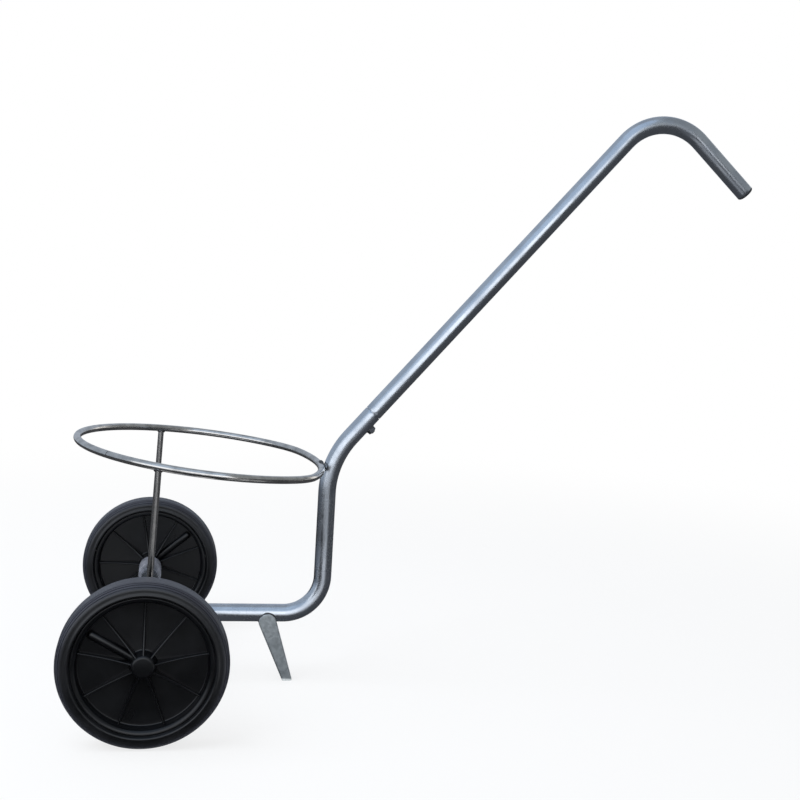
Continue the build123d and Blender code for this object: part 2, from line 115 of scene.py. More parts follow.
class CartSizes(bpy.types.PropertyGroup):
    """Sizes of the cart; places are counted back from the axle and up from the floor."""

    tube: length("Tube", "Outside diameter of frame, axle and handle tubes", span("axle_tube").x / MM)
    tube_wall: length("Tube wall", "Wall of the frame and handle tubes", 2)
    axle_wall: length("Axle tube wall", "Wall of the cross tube", 3)
    end_chamfer: length("End chamfer", "Broken edge of every cut tube end", 0.7)
    lower_height: length("Lower tube", "Height of the level run's centre line", 115)
    lower_start: length("Lower tube start", "Where the level run begins", 4)
    upright: length("Upright", "Place of the upright's centre line", 293)
    lower_bend: length("Lower bend", "Radius of the bend at the upright's foot", 65)
    socket_corner: length("Socket corner", "Height where upright and socket cross", 381.5)
    socket_bend: length("Socket bend", "Radius of the bend below the socket", 150)
    socket: length("Socket", "Length from the socket corner to the mouth", 110)
    handle_angle: angle("Handle angle", "Rise of the socket and the handle", 49.6)
    handle: length("Handle", "Length from the mouth to the hook's corner", 733)
    hook_bend: length("Hook bend", "Radius of the hook", 93)
    grip_angle: angle("Grip angle", "Fall of the grip", 41.75)
    grip: length("Grip", "Length from the hook's corner to the tip", 221)
    joint_gap: length("Joint gap", "Gap between the mouth and the handle", 0.6)
    spigot: length("Spigot", "Length of the handle's spigot in the socket", 50)
    spigot_clearance: length("Spigot clearance", "Play of the spigot in the socket", 0.05)
    plug_head: length("Plug head", "Thickness of the plug outside the grip", 4)
    plug_stem: length("Plug stem", "Length of the plug inside the grip", 16)
    hoop: length("Hoop", "Radius of the hoop's round part", 213)
    hoop_rod: length("Hoop rod", "Diameter of the hoop's rod", 12)
    hoop_place: length("Hoop place", "Place of the hoop's middle", 89.9)
    hoop_height: length("Hoop height", "Height of the hoop's middle", 390.8)
    hoop_tilt: angle("Hoop tilt", "Fall of the hoop towards the upright", 5.5)
    hoop_back: length("Hoop back", "Reach of the flattened back from the middle", 190)
    hoop_back_bend: length("Hoop back bend", "Radius of the flattened back", 330)
    hoop_corner_bend: length("Hoop corner", "Radius beside the flattened back", 110)
    hoop_seam: angle("Hoop seam", "Where the rod's ends meet, round from the back", 223)
    strut_rod: length("Strut rod", "Diameter of the struts", 10)
    strut_top: length("Strut top", "Place where the struts meet the hoop", 10.9)
    leg_top: length("Leg top", "Place of the leg's top", 196)
    leg_height: length("Leg height", "Height of the leg's top", 117)
    leg_foot: length("Leg foot", "Place of the leg's foot", 239.5)
    leg_width: length("Leg width", "Width of the leg at its top", 30)
    nut_place: length("Nut place", "Distance of the nut from the mouth", 23)
    nut_flats: length("Nut flats", "Width of the nut across its flats", 13)
    nut_height: length("Nut height", "Height of the nut outside the tube", 6.5)
    screw: length("Screw", "Diameter of the clamp screw", 8)
    screw_pitch: length("Screw pitch", "Pitch of the screw's thread", 1.25)
    screw_proud: length("Screw proud", "How far the screw stands out of its nut", 1.8)
    screw_key: length("Screw key", "Width and depth of the hexagon socket", 4)
    track: length("Track", "Distance between the wheels' middles", 2 * middle("tyre_right").y / MM)
    wheel: length("Wheel", "Diameter over the tread", span("tyre_left").z / MM)
    tyre_width: length("Tyre width", "Width over the sidewalls", span("tyre_left").y / MM)
    rim_barrel: length("Rim barrel", "Inside radius of the rim's barrel", 95)
    rim_seat: length("Rim seat", "Radius of the seat that carries the tyre", 103)
    rim_lip: length("Rim lip", "Distance of the rim's lip from its middle", 21)
    web: length("Web", "Thickness of the rim's web", 5)
    ribs: IntProperty(name="Ribs", description="Radial ribs of a rim", default=9, min=3)
    rib: length("Rib", "Thickness of a rib", 2.8)
    left_ridge: angle("Left ridge", "Direction of the left wheel's lock ridge", 150)
    right_ridge: angle("Right ridge", "Direction of the right wheel's lock ridge", -40)
    tread: length("Tread", "Width of the tread's flat part", 22)
    shoulder: length("Shoulder", "Radius of the tyre's shoulders", 14)
    grooves: IntProperty(name="Grooves", description="Grooves round tread and shoulders", default=13, min=1)
    groove_pitch: length("Groove pitch", "Distance between the grooves", 4)
    sleeve_bore: length("Sleeve bore", "Inside radius of the spacer sleeves", 10)
    weld: length("Weld", "Radius of the weld beads on the rods", 1.8)


class CartColours(bpy.types.PropertyGroup):
    """Colours of the cart's finishes."""

    zinc: colour("Zinc", "Bright plated tube", "#d8dde3")
    zinc_cloud: colour("Zinc cloud", "Duller clouds in the plating", "#c4cad2")
    rod: colour("Rod", "Plated round rod", "#e0dcd7")
    leg: colour("Leg", "Dull plated leg", "#dfe4e5")
    weld: colour("Weld", "Weld metal", "#77787a")
    fastener: colour("Fastener", "Nut and screw", "#5d6064")
    bare_steel: colour("Bare steel", "Axle rod, lock pins and springs", "#8a8a88")
    rim: colour("Rim", "Moulded rim", "#050609")
    rubber: colour("Rubber", "Tyre", "#08090c")
    dust: colour("Dust", "Dry film on rubber and plastic", "#3d3e47")
    spacer: colour("Spacer", "Spacer sleeves and bushes", "#888a93")
    plug: colour("Plug", "Plug in the grip's end", "#232428")


class CartView(bpy.types.PropertyGroup):
    """Camera and light of the stage."""

    place: FloatVectorProperty(
        name="Camera place", description="Where the camera stands", default=(-0.421007, -2.072278, 0.739053),
        subtype="TRANSLATION", unit="LENGTH",
    )
    yaw: angle("Camera yaw", "Turn of the view to the right", 10.61)
    pitch: angle("Camera pitch", "Fall of the view", 6.747)
    roll: angle("Camera roll", "Tilt of the picture", 3.45)
    lens: FloatProperty(
        name="Lens", description="Focal length on a 36 mm sensor", default=56.016, subtype="DISTANCE_CAMERA"
    )
    key_light: FloatProperty(
        name="Key light", description="Large soft light above the left", default=110, subtype="POWER"
    )
    room_light: FloatProperty(name="Room light", description="Light from all round", default=0.55, min=0)


# Node trees

def add(tree, kind, **given):
    """Adds a node; names in small letters are its settings, and the others its inputs.

    An input is a value, a socket, or a node whose first output it takes.
    """
    node = tree.nodes.new(kind)
    node.location = (200 * len(tree.nodes), 0)
    for key in filter(str.islower, given):
        setattr(node, key, given[key])
    for key, value in given.items():
        if key.islower():
            continue
        usable = (s for s in node.inputs if s.enabled)
        socket = next(s for s in usable if key in (s.identifier, s.name.replace(" ", "_")))
        if isinstance(value, bpy.types.Node):
            value = next(s for s in value.outputs if s.enabled)
        if isinstance(value, bpy.types.NodeSocket):
            tree.links.new(value, socket)
        else:
            socket.default_value = value
    return node


def new_shape_tree(name, **inputs):
    """Geometry tree with a geometry in and out, and the named inputs."""
    tree = bpy.data.node_groups.new(name, "GeometryNodeTree")
    for way in ("INPUT", "OUTPUT"):
        tree.interface.new_socket("Geometry", in_out=way, socket_type="NodeSocketGeometry")
    for label, kind in inputs.items():
        tree.interface.new_socket(label, in_out="INPUT", socket_type="NodeSocket" + kind)
    return tree, add(tree, "NodeGroupInput").outputs


def end_shape_tree(tree, shape, material):
    """Ends a tree: instances become real, and everything takes the material."""
    real = add(tree, "GeometryNodeRealizeInstances", Geometry=shape)
    done = add(tree, "GeometryNodeSetMaterial", Geometry=real, Material=material)
    add(tree, "NodeGroupOutput", Geometry=done)
    return tree


@cache
def bent_bar_tree():
    """Round bar along a line, each corner rounded by its own bend, its straightened place kept on it."""
    tree, given = new_shape_tree(
        "bent_bar", Radius="Float", Sides="Int", Ring_Step="Float", Bend_Steps="Int",
        Bent="Bool", Closed_Ends="Bool", Material="Material",
    )
    keep = "GeometryNodeStoreNamedAttribute"
    recall = "GeometryNodeInputNamedAttribute"
    line = add(tree, "GeometryNodeMeshToCurve", Mesh=given["Geometry"])
    bend = add(tree, recall, data_type="FLOAT", Name="bend")
    steps = given["Bend_Steps"]
    bent = add(tree, "GeometryNodeFilletCurve", mode="POLY", Curve=line, Radius=bend, Count=steps)
    either = {"False": line, "True": bent}
    path = add(tree, "GeometryNodeSwitch", input_type="GEOMETRY", Switch=given["Bent"], **either)
    path = add(tree, "GeometryNodeResampleCurve", mode="LENGTH", Curve=path, Length=given["Ring_Step"])
    travel = add(tree, "GeometryNodeSplineParameter").outputs["Length"]
    path = add(tree, keep, data_type="FLOAT", domain="POINT", Geometry=path, Name="travel", Value=travel)
    section = add(tree, "GeometryNodeCurvePrimitiveCircle", Resolution=given["Sides"], Radius=given["Radius"])
    flat = add(tree, "GeometryNodeInputPosition")
    vectors = {"data_type": "FLOAT_VECTOR", "domain": "POINT"}
    section = add(tree, keep, **vectors, Geometry=section, Name="section", Value=flat)
    bar = add(
        tree, "GeometryNodeCurveToMesh", Curve=path, Profile_Curve=section, Fill_Caps=given["Closed_Ends"]
    )
    across = add(tree, recall, data_type="FLOAT_VECTOR", Name="section")
    across = add(tree, "ShaderNodeSeparateXYZ", Vector=across).outputs
    along = add(tree, recall, data_type="FLOAT", Name="travel")
    straight = add(tree, "ShaderNodeCombineXYZ", X=across["X"], Y=across["Y"], Z=along)
    bar = add(tree, keep, **vectors, Geometry=bar, Name=LAID_OUT, Value=straight)
    for spare in ("bend", "travel", "section"):
        bar = add(tree, "GeometryNodeRemoveAttribute", Geometry=bar, Name=spare)
    return end_shape_tree(tree, bar, given["Material"])


@cache
def copies_round_tree():
    """Copies of a shape set evenly round the Z axis, as the ribs of a rim are."""
    tree, given = new_shape_tree("copies_round", Count="Int", First_Angle="Float", Material="Material")
    points = add(tree, "GeometryNodePoints", Count=given["Count"])
    step = add(tree, "ShaderNodeMath", operation="DIVIDE", Value=2 * pi, Value_001=given["Count"])
    index = add(tree, "GeometryNodeInputIndex")
    turn = add(
        tree, "ShaderNodeMath", operation="MULTIPLY_ADD",
        Value=index, Value_001=step, Value_002=given["First_Angle"],
    )
    turn = add(tree, "ShaderNodeCombineXYZ", Z=turn)
    turn = add(tree, "FunctionNodeEulerToRotation", Euler=turn)
    shape = given["Geometry"]
    copies = add(tree, "GeometryNodeInstanceOnPoints", Points=points, Instance=shape, Rotation=turn)
    return end_shape_tree(tree, copies, given["Material"])


@cache
def weld_bead_tree():
    """Bead along a seam: rippled by the welder's steps, uneven, and thinner at the ends of an open seam."""
    ring_share = 0.25  # of a ripple, from one ring of the bead to the next
    thinnest = 0.55  # of the bead's radius
    growth = 0.9  # of the radius, from the thinnest place to the thickest
    ripple_height = 0.09
    taper = 0.12  # of the seam's length, at each end
    lump = 6 * MM
    tree, given = new_shape_tree(
        "weld_bead", Radius="Float", Ripple="Float", End_Size="Float", Seed="Float", Material="Material"
    )
    ripple = given["Ripple"]
    seam = add(tree, "GeometryNodeMeshToCurve", Mesh=given["Geometry"])
    step = add(tree, "ShaderNodeMath", operation="MULTIPLY", Value=ripple, Value_001=ring_share)
    seam = add(tree, "GeometryNodeResampleCurve", mode="LENGTH", Curve=seam, Length=step)
    here = add(tree, "GeometryNodeInputPosition")
    place = add(tree, "GeometryNodeSplineParameter").outputs
    uneven = add(
        tree, "ShaderNodeTexNoise", noise_dimensions="4D",
        Vector=here, W=given["Seed"], Scale=1 / lump, Detail=1.0,
    )
    swell = add(
        tree, "ShaderNodeMath", operation="MULTIPLY_ADD", Value=uneven, Value_001=growth, Value_002=thinnest
    )
    beat = add(tree, "ShaderNodeMath", operation="DIVIDE", Value=place["Length"], Value_001=ripple)
    beat = add(tree, "ShaderNodeMath", operation="MULTIPLY", Value=beat, Value_001=2 * pi)
    beat = add(tree, "ShaderNodeMath", operation="SINE", Value=beat)
    swell = add(
        tree, "ShaderNodeMath", operation="MULTIPLY_ADD", Value=beat, Value_001=ripple_height, Value_002=swell
    )
    to_end = add(tree, "ShaderNodeMath", operation="SUBTRACT", Value=1.0, Value_001=place["Factor"])
    to_end = add(tree, "ShaderNodeMath", operation="MINIMUM", Value=place["Factor"], Value_001=to_end)
    thinned = add(
        tree, "ShaderNodeMapRange", interpolation_type="SMOOTHSTEP",
        Value=to_end, From_Max=taper, To_Min=given["End_Size"], To_Max=1.0,
    )
    size = add(tree, "ShaderNodeMath", operation="MULTIPLY", Value=swell, Value_001=thinned)
    section = add(tree, "GeometryNodeCurvePrimitiveCircle", Resolution=14, Radius=given["Radius"])
    bead = add(
        tree, "GeometryNodeCurveToMesh", Curve=seam, Profile_Curve=section, Scale=size, Fill_Caps=True
    )
    bead = add(tree, "GeometryNodeSetShadeSmooth", Geometry=bead)
    return end_shape_tree(tree, bead, given["Material"])


# Meshes

def baked(obj):
    """Plain mesh of an object with its modifiers applied; the object is deleted."""
    graph = bpy.context.evaluated_depsgraph_get()
    shaped = obj.evaluated_get(graph)
    mesh = bpy.data.meshes.new_from_object(shaped, preserve_all_data_layers=True, depsgraph=graph)
    base = obj.data
    bpy.data.objects.remove(obj)
    bpy.data.meshes.remove(base)
    return mesh


def placed(name, data):
    """New object in the scene."""
    obj = bpy.data.objects.new(name, data)
    bpy.context.scene.collection.objects.link(obj)
    return obj


def grown(mesh, tree, **inputs):
    """Mesh that a geometry tree makes from a base mesh."""
    obj = placed("workpiece", mesh)
    modifier = obj.modifiers.new("grow", "NODES")
    modifier.node_group = tree
    for socket in tree.interface.items_tree:
        if socket.in_out == "INPUT" and socket.name in inputs:
            modifier[socket.identifier] = inputs[socket.name]
    return baked(obj)


def line_mesh(points, closed=False):
    """Points joined in order by edges."""
    count = len(points)
    mesh = bpy.data.meshes.new("line")
    mesh.from_pydata(points, [(k, (k + 1) % count) for k in range(count if closed else count - 1)], [])
    return mesh


def bent_bar(points, radius, material, bends=(), closed=False, caps=False, sides=64):
    """Round bar along points; bends gives each corner's radius, with none at the ends."""
    mesh = line_mesh(points, closed)
    bend = mesh.attributes.new("bend", "FLOAT", "POINT")
    bend.data.foreach_set("value", [0.0, *bends, 0.0] if bends else [0.0] * len(points))
    return grown(
        mesh, bent_bar_tree(), Radius=radius, Sides=sides, Ring_Step=5 * MM, Bend_Steps=48,
        Bent=bool(bends), Closed_Ends=caps, Material=material,
    )


def tube(points, radius, wall, chamfer, material, bends=()):
    """Hollow tube along points, its ends cut square and their edges broken."""
    obj = placed("workpiece", bent_bar(points, radius, material, bends))
    solidify = obj.modifiers.new("wall", "SOLIDIFY")
    solidify.thickness = wall
    solidify.offset = -1
    solidify.use_even_offset = True
    bevel = obj.modifiers.new("broken_edge", "BEVEL")
    bevel.width = chamfer
    bevel.segments = 2
    bevel.limit_method = "ANGLE"
    bevel.angle_limit = radians(50)
    return baked(obj)


def loft(rings, closed=False):
    """Skin over rings of points, facing out; a ring of one point is a pole, and open ends are capped."""
    mesh = bpy.data.meshes.new("loft")
    points = []
    numbered = []
    for ring in rings:
        numbered.append(range(len(points), len(points) + len(ring)))
        points += ring
    faces = []
    for low, high in zip(numbered, numbered[1:] + numbered[:1] if closed else numbered[1:]):
        count = max(len(low), len(high))
        for k in range(count):
            corners = (low, k), (low, k + 1), (high, k + 1), (high, k)
            face = [ring[step % count % len(ring)] for ring, step in corners]
            faces.append(list(dict.fromkeys(face)))
    if not closed:
        faces += [list(ring) for ring in (numbered[0], numbered[-1]) if len(ring) > 1]
    mesh.from_pydata(points, [], faces)
    work = bmesh.new()
    work.from_mesh(mesh)
    bmesh.ops.recalc_face_normals(work, faces=work.faces)
    work.to_mesh(mesh)
    work.free()
    return mesh


def full_turn(steps):
    """Angles of even steps round a circle."""
    return [2 * pi * k / steps for k in range(steps)]


def round_point(radius, turn, height):
    """Point at an angle round the Z axis."""
    return radius * cos(turn), radius * sin(turn), height


def lathe(outline, steps=144):
    """Solid of an outline of radius and height, turned about the Z axis."""
    rings = []
    for radius, height in outline:
        turns = full_turn(steps if radius > 0 else 1)
        rings.append([round_point(radius, turn, height) for turn in turns])
    return loft(rings, closed=len(rings[0]) > 1)


def rounded(corners, steps=6):
    """Outline through corners, each given as its two coordinates and its rounding."""
    points = []
    for k, (across, up, rounding) in enumerate(corners):
        here = Vector((across, up))
        if not rounding:
            points.append(here)
            continue
        back = (Vector(corners[k - 1][:2]) - here).normalized()
        ahead = (Vector(corners[(k + 1) % len(corners)][:2]) - here).normalized()
        half = back.angle(ahead) / 2
        centre = here + (back + ahead).normalized() * (rounding / sin(half))
        first = here + back * (rounding / tan(half)) - centre
        last = here + ahead * (rounding / tan(half)) - centre
        points += [centre + first.slerp(last, j / steps) * first.length for j in range(steps + 1)]
    return points


def joined(*meshes):
    """One mesh of several, with the first one's materials."""
    work = bmesh.new()
    for mesh in meshes:
        work.from_mesh(mesh)
    work.to_mesh(meshes[0])
    work.free()
    for mesh in meshes[1:]:
        bpy.data.meshes.remove(mesh)
    return meshes[0]


def piece(name, mesh, material, body, slot, *nodes):
    """Finished piece: smooth but for its edges, riding on its body, and standing for its nodes."""
    mesh.name = name
    mesh.materials.clear()
    mesh.materials.append(material)
    mesh.polygons.foreach_set("use_smooth", [True] * len(mesh.polygons))
    mesh.set_sharp_from_angle(angle=SMOOTH_LIMIT)
    obj = placed(name, mesh)
    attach(obj, body)
    if nodes:
        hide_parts(*nodes)
    return obj


def dress(node, material):
    """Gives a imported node, whose shape stays, its material."""
    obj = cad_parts[node]
    obj.data.materials.clear()
    obj.data.materials.append(material)


# Finishes

def tones():
    """Colours that the user can change."""
    return bpy.context.scene.cart_colours


def new_material(name):
    """Empty material and its tree."""
    material = bpy.data.materials.new(name)
    material.use_nodes = True
    material.node_tree.nodes.clear()
    return material, material.node_tree


def new_look(name, bent=False):
    """Empty material with the place that its patterns follow, straightened out on a bent piece."""
    material, tree = new_material(name)
    if bent:
        place = add(tree, "ShaderNodeAttribute", attribute_name=LAID_OUT).outputs["Vector"]
    else:
        place = add(tree, "ShaderNodeTexCoord").outputs["Object"]
    return SimpleNamespace(material=material, tree=tree, place=place)


def cloud(look, size, detail, shades, worn, roughness, levels=(0.3, 0.7)):
    """Gives a look its clouds, and the colour and roughness that follow them.

    worn has the levels of the clouds where the second shade starts and is strongest, and its strength there;
    roughness has a value for each of two levels.
    """
    start, full, strength = worn
    low, high = levels
    at_low, at_high = roughness
    tree = look.tree
    look.clouds = add(tree, "ShaderNodeTexNoise", Vector=look.place, Scale=1 / size, Detail=detail)
    share = add(
        tree, "ShaderNodeMapRange",
        Value=look.clouds, From_Min=start, From_Max=full, To_Min=0.0, To_Max=strength,
    )
    look.base = add(
        tree, "ShaderNodeMix", data_type="RGBA", Factor_Float=share, A_Color=shades[0], B_Color=shades[1]
    )
    look.roughness = add(
        tree, "ShaderNodeMapRange",
        Value=look.clouds, From_Min=low, From_Max=high, To_Min=at_low, To_Max=at_high,
    )


def grain(look, sizes, detail):
    """Noise whose grains have a size along each axis."""
    scale = [1 / size for size in sizes]
    stretched = add(look.tree, "ShaderNodeMapping", Vector=look.place, Scale=scale)
    return add(look.tree, "ShaderNodeTexNoise", Vector=stretched, Scale=1.0, Detail=detail)


def finished(look, height, strength, depth, **shader):
    """Material of a look that ends in its shader, with relief from a height."""
    bump = add(look.tree, "ShaderNodeBump", Strength=strength, Distance=depth, Height=height)
    surface = add(
        look.tree, "ShaderNodeBsdfPrincipled",
        Base_Color=look.base, Roughness=look.roughness, Normal=bump, **shader,
    )
    add(look.tree, "ShaderNodeOutputMaterial", Surface=surface)
    return look.material


@cache
def bright_zinc_tube():
    # Bright zinc plate on drawn steel tube: a soft mirror, cloudy, with faint lines along the draw and
    # small dull specks
    look = new_look("Bright zinc on drawn tube", bent=True)
    shades = tones().zinc, tones().zinc_cloud
    cloud(look, 30 * MM, detail=4, shades=shades, worn=(0.38, 0.66, 1), roughness=(0.2, 0.33))
    specks = grain(look, [2.2 * MM] * 3, detail=2)
    specks = add(
        look.tree, "ShaderNodeMapRange", Value=specks, From_Min=0.64, From_Max=0.78, To_Min=0.0, To_Max=0.3
    )
    look.base = add(
        look.tree, "ShaderNodeMix", data_type="RGBA",
        Factor_Float=specks, A_Color=look.base, B_Color=linear("#9aa0a8"),
    )
    look.roughness = add(
        look.tree, "ShaderNodeMath", operation="MULTIPLY_ADD",
        Value=specks, Value_001=0.2, Value_002=look.roughness,
    )
    lines = grain(look, (2 * MM, 2 * MM, 160 * MM), detail=2)
    return finished(look, lines, strength=0.06, depth=0.03 * MM, Metallic=1)


@cache
def zinc_rod():
    # Zinc plate on round bar: a sharper and slightly warmer mirror than the tube, with thin scratches
    # along the bar
    look = new_look("Zinc on round bar", bent=True)
    shades = tones().rod, linear("#bab7b3")
    cloud(look, 14 * MM, detail=4, shades=shades, worn=(0.4, 0.68, 1), roughness=(0.11, 0.22))
    lines = grain(look, (0.9 * MM, 0.9 * MM, 60 * MM), detail=2)
    return finished(look, lines, strength=0.15, depth=0.03 * MM, Metallic=1)


@cache
def dull_zinc_strip():
    # Hot-dipped zinc on pressed strip: flat grey crystals a few millimetres wide, dull, with dirt in
    # soft patches
    look = new_look("Dull zinc on pressed strip")
    spangle = add(look.tree, "ShaderNodeTexVoronoi", Vector=look.place, Scale=1 / (5 * MM))
    grey = add(look.tree, "ShaderNodeSeparateColor", Color=spangle.outputs["Color"])
    crystals = add(
        look.tree, "ShaderNodeMix", data_type="RGBA",
        Factor_Float=grey, A_Color=tones().leg, B_Color=linear("#c8cecf"),
    )
    shades = crystals, linear("#9a9f9e")
    cloud(look, 18 * MM, detail=5, shades=shades, worn=(0.48, 0.75, 0.6), roughness=(0.46, 0.62))
    return finished(look, look.clouds, strength=0.3, depth=0.08 * MM, Metallic=1)


@cache
def weld_metal():
    # Plated weld metal: rough and darker than the bar, with burnt brown-grey flecks
    look = new_look("Plated weld metal")
    shades = tones().weld, linear("#4d4844")
    cloud(look, 2.5 * MM, detail=4, shades=shades, worn=(0.42, 0.66, 1), roughness=(0.3, 0.6), levels=(0, 1))
    return finished(look, look.clouds, strength=0.4, depth=0.15 * MM, Metallic=1)


@cache
def dark_fastener_steel():
    # Oiled black-oxide steel: dark, with a dull shine and paler rubbed patches
    look = new_look("Black oxide steel")
    shades = tones().fastener, linear("#8b8d90")
    cloud(look, 4 * MM, detail=4, shades=shades, worn=(0.45, 0.7, 1), roughness=(0.5, 0.3), levels=(0, 1))
    return finished(look, look.clouds, strength=0.2, depth=0.03 * MM, Metallic=1)


@cache
def turned_steel():
    # Turned bar, oiled: fine rings across the bar and a few darker smears of grease
    look = new_look("Turned oiled steel")
    shades = tones().bare_steel, linear("#4b463f")
    cloud(look, 12 * MM, detail=3, shades=shades, worn=(0.5, 0.72, 1), roughness=(0.24, 0.42), levels=(0, 1))
    rings = grain(look, (40 * MM, 0.8 * MM, 40 * MM), detail=1)
    return finished(look, rings, strength=0.2, depth=0.03 * MM, Metallic=1)


@cache
def moulded_black_plastic():
    # Injection-moulded polypropylene: near black, a fine spark-eroded skin, satin, with a thin dry film
    # of dust
    look = new_look("Black moulded polypropylene")
    shades = tones().rim, tones().dust
    cloud(look, 45 * MM, detail=2, shades=shades, worn=(0.35, 0.75, 0.05), roughness=(0.27, 0.33))
    skin = grain(look, [1.5 * MM] * 3, detail=2)
    return finished(look, skin, strength=0.25, depth=0.06 * MM, IOR=1.49)


@cache
def tyre_rubber():
    # Solid black rubber: matt, with a grainy moulded skin, dry dust in soft clouds and more of it on
    # the tread
    look = new_look("Solid black rubber")
    shades = tones().rubber, tones().dust
    cloud(look, 35 * MM, detail=6, shades=shades, worn=(0.4, 0.72, 0.1), roughness=(0.3, 0.4))
    hub = -AXLE.x, 0, -AXLE.z
    spoke = add(look.tree, "ShaderNodeMapping", Vector=look.place, Location=hub, Scale=(1, 0, 1))
    reach = add(look.tree, "ShaderNodeVectorMath", operation="LENGTH", Vector=spoke).outputs["Value"]
    tread = add(
        look.tree, "ShaderNodeMapRange", interpolation_type="SMOOTHSTEP",
        Value=reach, From_Min=113 * MM, From_Max=123 * MM, To_Min=0.0, To_Max=0.75,
    )
    look.base = add(
        look.tree, "ShaderNodeMix", data_type="RGBA",
        Factor_Float=tread, A_Color=look.base, B_Color=tones().dust,
    )
    skin = grain(look, [1.8 * MM] * 3, detail=3)
    return finished(look, skin, strength=0.35, depth=0.12 * MM, IOR=1.52, Specular_IOR_Level=0.56)


@cache
def grey_nylon():
    # Extruded nylon sleeve: mid grey, waxy, with fine lines round it and scuffs
    look = new_look("Grey nylon")
    shades = tones().spacer, linear("#63656c")
    cloud(look, 9 * MM, detail=5, shades=shades, worn=(0.42, 0.7, 1), roughness=(0.35, 0.6), levels=(0, 1))
    rings = grain(look, (60 * MM, 1.2 * MM, 60 * MM), detail=1)
    return finished(look, rings, strength=0.2, depth=0.05 * MM, IOR=1.53)


@cache
def dark_moulded_plug():
    # Moulded polyethylene: dark grey, with a soft shine and paler scuffs
    look = new_look("Dark moulded polyethylene")
    shades = tones().plug, linear("#3f4145")
    cloud(look, 3 * MM, detail=5, shades=shades, worn=(0.48, 0.75, 1), roughness=(0.35, 0.6), levels=(0, 1))
    return finished(look, look.clouds, strength=0.25, depth=0.08 * MM, IOR=1.51)


# Places that pieces share

def at(back, height, across=0.0):
    """Point of the cart, given back from the axle, up from the floor and across from the middle."""
    return Vector((AXLE.x + back, across, height))


def shaft_lines(s):
    """Directions and corners of the socket, handle and grip."""
    up = Vector((cos(s.handle_angle), 0, sin(s.handle_angle)))
    down = Vector((cos(s.grip_angle), 0, -sin(s.grip_angle)))
    corner = at(s.upright, s.socket_corner)
    mouth = corner + up * s.socket
    hook = mouth + up * s.handle
    return SimpleNamespace(up=up, down=down, corner=corner, mouth=mouth, hook=hook, tip=hook + down * s.grip)


def hoop_point(s, x, y):
    """Point of the hoop's tilted plane, x to the back and y across."""
    return at(s.hoop_place + x * cos(s.hoop_tilt), s.hoop_height - x * sin(s.hoop_tilt), y)


def strut_ends(s, side):
    """Foot on the axle's line and top on the hoop's line."""
    x = (s.strut_top - s.hoop_place) / cos(s.hoop_tilt)
    y = side * sqrt(s.hoop**2 - x**2)
    return at(0, AXLE.z, y), hoop_point(s, x, y)


def turn_outward(out):
    """Turn of a shape's own Z to a direction square to the cart's width, its X across the cart."""
    across = Vector((0, 1, 0))
    return Matrix((across, out.cross(across), out)).transposed().to_4x4()


def turn_sideways(side):
    """Turn of a shape's own Z to one side of the cart, its X along the cart."""
    return Matrix(((1, 0, 0), (0, 0, side), (0, -side, 0))).to_4x4()


def nut_frame(s):
    """Places the nut and screw: origin on the tube's centre line, own Z out along the screw."""
    shaft = shaft_lines(s)
    out = Vector((shaft.up.z, 0, -shaft.up.x))
    return Matrix.Translation(shaft.mouth - shaft.up * s.nut_place) @ turn_outward(out)


def wheel_frame(s, side):
    """Places a wheel: its own Z outward, X along its lock ridge."""
    ridge = Matrix.Rotation(s.left_ridge if side < 0 else s.right_ridge, 4, "Z")
    centre = Matrix.Translation((AXLE.x, side * s.track / 2, s.wheel / 2))
    return centre @ turn_sideways(side) @ ridge


# Shapes of single pieces

def hoop_line(s):
    """Points round the hoop, from the seam: a circle, a flatter arc at the back, a tighter arc beside it."""
    back_centre = s.hoop_back - s.hoop_back_bend
    from_main = s.hoop - s.hoop_corner_bend
    from_back = s.hoop_back_bend - s.hoop_corner_bend
    corner_x = (from_back**2 - from_main**2 - back_centre**2) / (-2 * back_centre)
    corner_y = sqrt(from_main**2 - corner_x**2)
    main_angle = atan2(corner_y, corner_x)
    back_angle = atan2(corner_y, corner_x - back_centre)
    arcs = [
        (0, 0, s.hoop, s.hoop_seam, 2 * pi - main_angle),
        (corner_x, -corner_y, s.hoop_corner_bend, -main_angle, -back_angle),
        (back_centre, 0, s.hoop_back_bend, -back_angle, back_angle),
        (corner_x, corner_y, s.hoop_corner_bend, back_angle, main_angle),
        (0, 0, s.hoop, main_angle, s.hoop_seam),
    ]
    longest_step = 6 * MM
    points = []
    for x, y, radius, start, end in arcs:
        steps = ceil(radius * (end - start) / longest_step)
        for k in range(steps):
            turn = start + (end - start) * k / steps
            points.append(hoop_point(s, x + radius * cos(turn), y + radius * sin(turn)))
    return points


def rim_corners(s):
    """Corners of a rim's section, each with its rounding: closed hub, web, barrel, lips and blind bore."""
    web = s.web / 2
    lip = s.rim_seat - s.rim_barrel
    barrel_foot = s.rim_barrel - 0.6 * MM
    face = 22 * MM
    hub = 20 * MM
    back = -33 * MM
    bore = 10.05 * MM
    bore_end = 16 * MM
    return [
        (0, face, 0),
        (hub - 3 * MM, face, 5 * MM),
        (hub, web, 2.5 * MM),
        (barrel_foot, web, 2 * MM),
        (s.rim_barrel, s.rim_lip, 0.85 * lip),
        (s.rim_seat, s.rim_lip, 0.12 * lip),
        (s.rim_seat, -s.rim_lip, 0.12 * lip),
        (s.rim_barrel, -s.rim_lip, 0.85 * lip),
        (barrel_foot, -web, 2 * MM),
        (hub + 0.6 * MM, -web, 2.5 * MM),
        (hub, back, 1 * MM),
        (bore, back, 0.8 * MM),
        (bore, bore_end, 0),
        (0, bore_end, 0),
    ]


